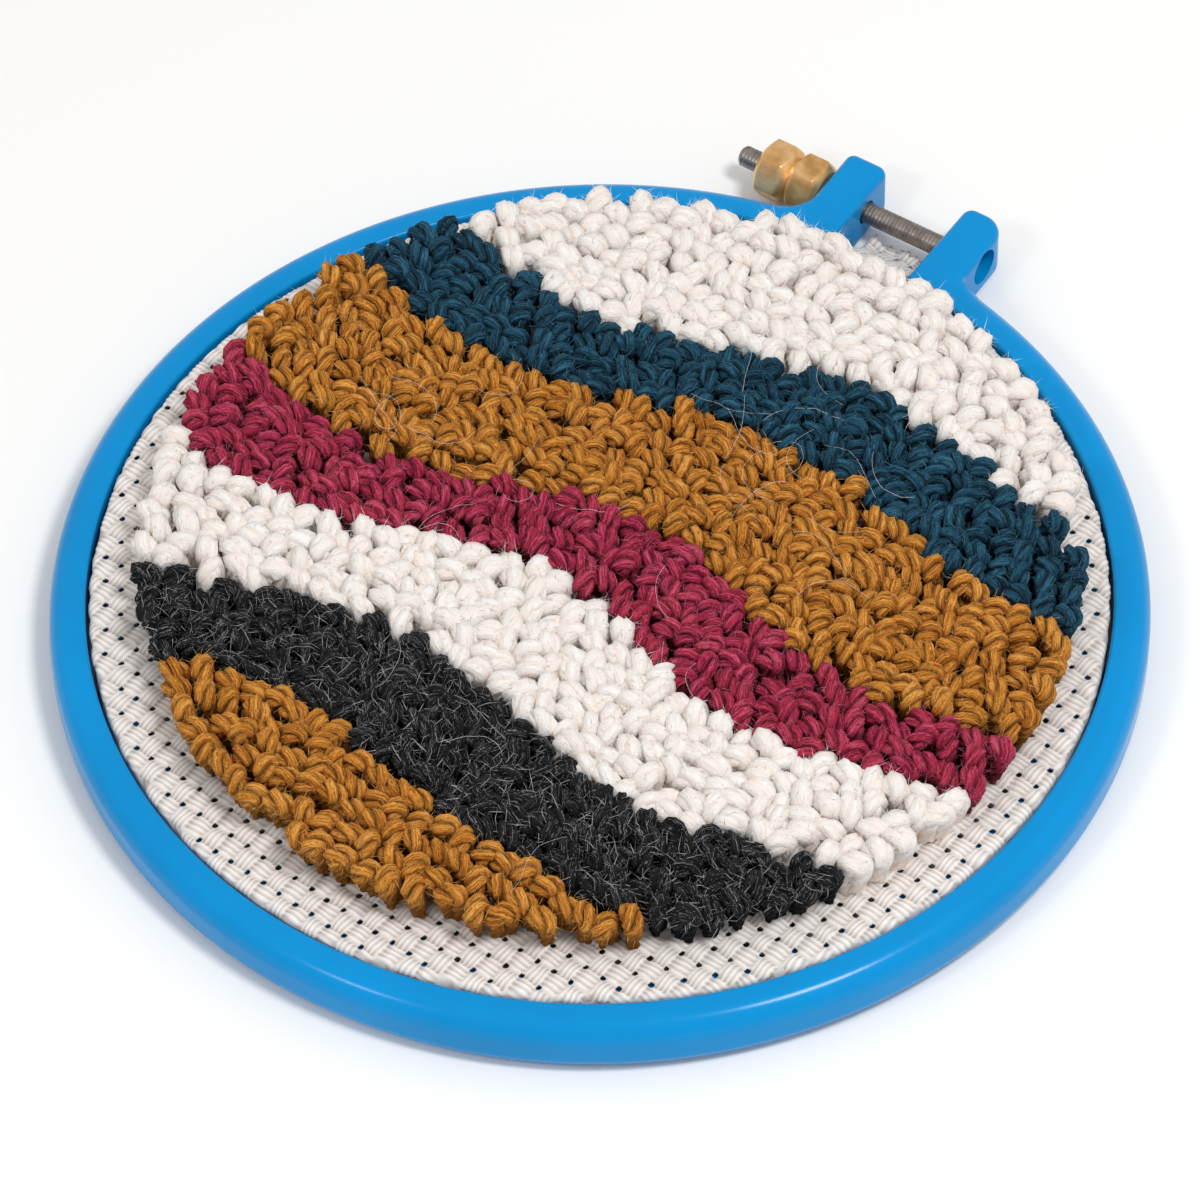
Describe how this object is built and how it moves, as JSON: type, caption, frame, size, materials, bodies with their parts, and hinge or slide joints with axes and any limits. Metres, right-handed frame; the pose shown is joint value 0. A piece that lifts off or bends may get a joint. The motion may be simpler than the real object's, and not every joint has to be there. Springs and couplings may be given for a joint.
{
  "type": "punch needle wall piece in an embroidery hoop",
  "caption": "Round punch needle piece: waved fields of loop pile on a basket weave cloth, clamped in a plastic embroidery hoop with a brass nut.",
  "frame": {"origin": "middle of the whole piece's box, at the height of its underside", "axes": "+Z out of the cloth's front, +Y from the hoop's middle to its clamp, +X along the clamp screw towards its head"},
  "size_m": [0.161, 0.173, 0.0176],
  "materials": {
    "plastic": "moulded, soft gloss",
    "cloth": "basket weave cotton",
    "yarn_offwhite": "plied wool loops",
    "yarn_navy": "plied wool loops",
    "yarn_ochre": "plied wool loops",
    "yarn_raspberry": "plied wool loops",
    "yarn_charcoal": "plied wool loops, heathered",
    "brass": "turned bar",
    "steel": "zinc grey thread"
  },
  "bodies": {
    "hoop": {"outer_ring": "plastic", "inner_ring": "plastic", "ground_cloth": "cloth", "pile_1_offwhite": "yarn_offwhite", "stitches_1_offwhite": "yarn_offwhite", "pile_2_navy": "yarn_navy", "stitches_2_navy": "yarn_navy", "pile_3_ochre": "yarn_ochre", "stitches_3_ochre": "yarn_ochre", "pile_4_raspberry": "yarn_raspberry", "stitches_4_raspberry": "yarn_raspberry", "pile_5_offwhite": "yarn_offwhite", "stitches_5_offwhite": "yarn_offwhite", "pile_6_charcoal": "yarn_charcoal", "stitches_6_charcoal": "yarn_charcoal", "pile_7_ochre": "yarn_ochre", "stitches_7_ochre": "yarn_ochre", "clamp_screw": "steel"},
    "nut": {"clamp_nut": "brass"}
  },
  "joints": [
    {"name": "nut_turn", "type": "hinge", "parent": "hoop", "child": "nut", "pos_m": [-0.01985, 0.07975, 0.0053], "axis": [1, 0, 0], "continuous": true}
  ]
}
